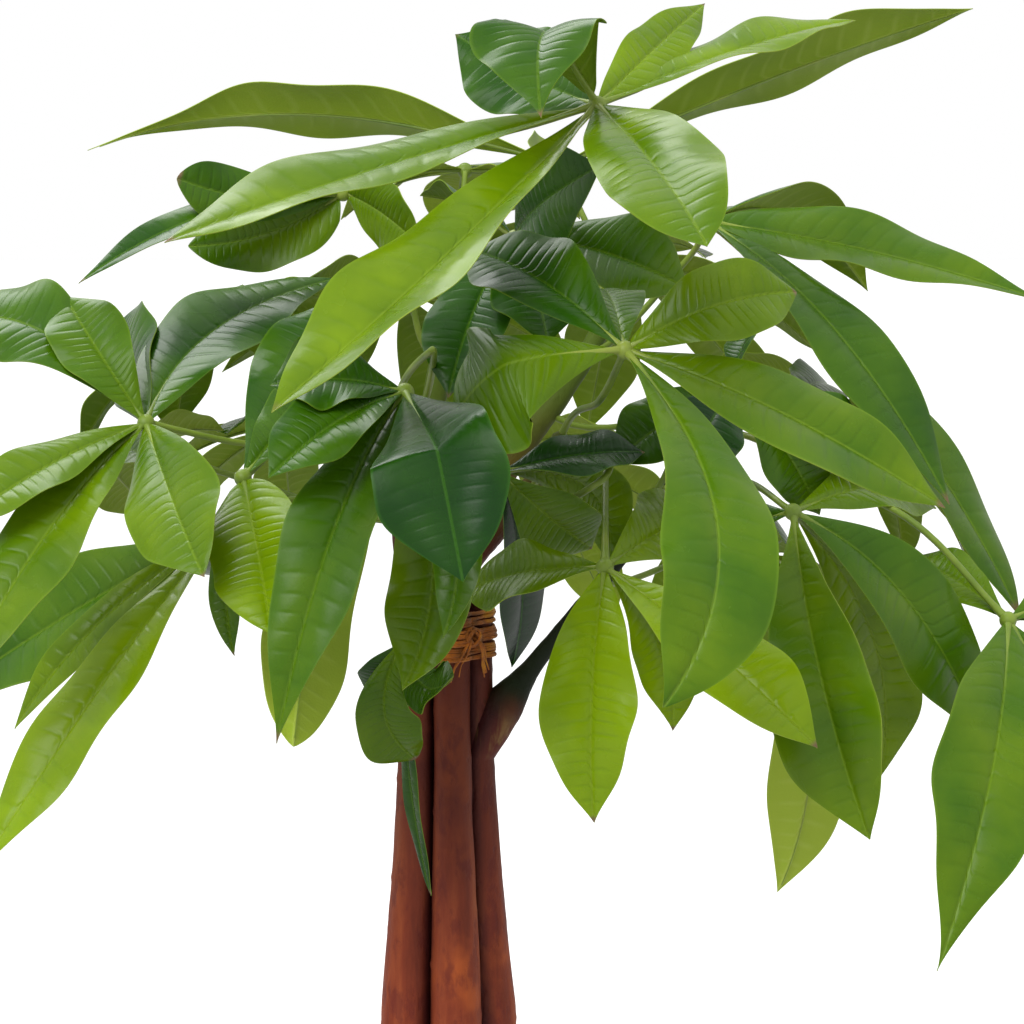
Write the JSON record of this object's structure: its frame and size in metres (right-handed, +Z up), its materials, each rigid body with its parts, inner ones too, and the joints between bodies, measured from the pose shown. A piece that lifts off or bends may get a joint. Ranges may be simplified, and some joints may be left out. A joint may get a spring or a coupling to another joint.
{
  "type": "potted money tree",
  "caption": "House plant with slim stems twisted and tied into one trunk, a round crown of glossy fanned leaves, and a plain clay pot.",
  "frame": {"origin": "centre of the pot's flat bottom, on the surface that it stands on", "axes": "+Z up along the trunk, +X to the right as seen from the front, +Y to the back"},
  "size_m": [0.5859, 0.62, 0.9248],
  "materials": {
    "pot": "matt unglazed terracotta",
    "soil": "damp crumbly potting soil",
    "bark": "smooth brown bark with a soft sheen",
    "tie": "dry twisted raffia cord",
    "leaf_young": "glossy yellow-green leaf",
    "leaf_mid": "glossy green leaf",
    "leaf_deep": "glossy dark green leaf",
    "leaf_olive": "dull olive leaf seen from below"
  },
  "bodies": {
    "root": {"pot": "pot", "soil": "soil", "tie": "tie", "stem_front": "bark", "stem_right": "bark", "stem_back_right": "bark", "stem_back_left": "bark", "stem_left": "bark", "leaf_crown_front": "leaf_young", "leaf_crown_back": "leaf_olive", "leaf_left_high": "leaf_deep", "leaf_left_front": "leaf_young", "leaf_left_low": "leaf_young", "leaf_left_inner": "leaf_young", "leaf_centre_left": "leaf_mid", "leaf_centre": "leaf_mid", "leaf_centre_low": "leaf_young", "leaf_right_low": "leaf_deep", "leaf_right_edge": "leaf_mid", "leaf_right_high": "leaf_deep", "leaf_inner_top": "leaf_deep", "leaf_inner_right": "leaf_deep", "leaf_inner_centre": "leaf_mid", "leaf_lower_left": "leaf_mid", "leaf_back_1": "leaf_mid", "leaf_back_2": "leaf_deep", "leaf_back_3": "leaf_mid", "leaf_back_4": "leaf_deep", "leaf_back_5": "leaf_deep", "leaf_back_6": "leaf_mid", "leaf_back_7": "leaf_deep", "leaf_back_8": "leaf_mid", "leaf_top_mid": "leaf_mid"}
  },
  "joints": []
}
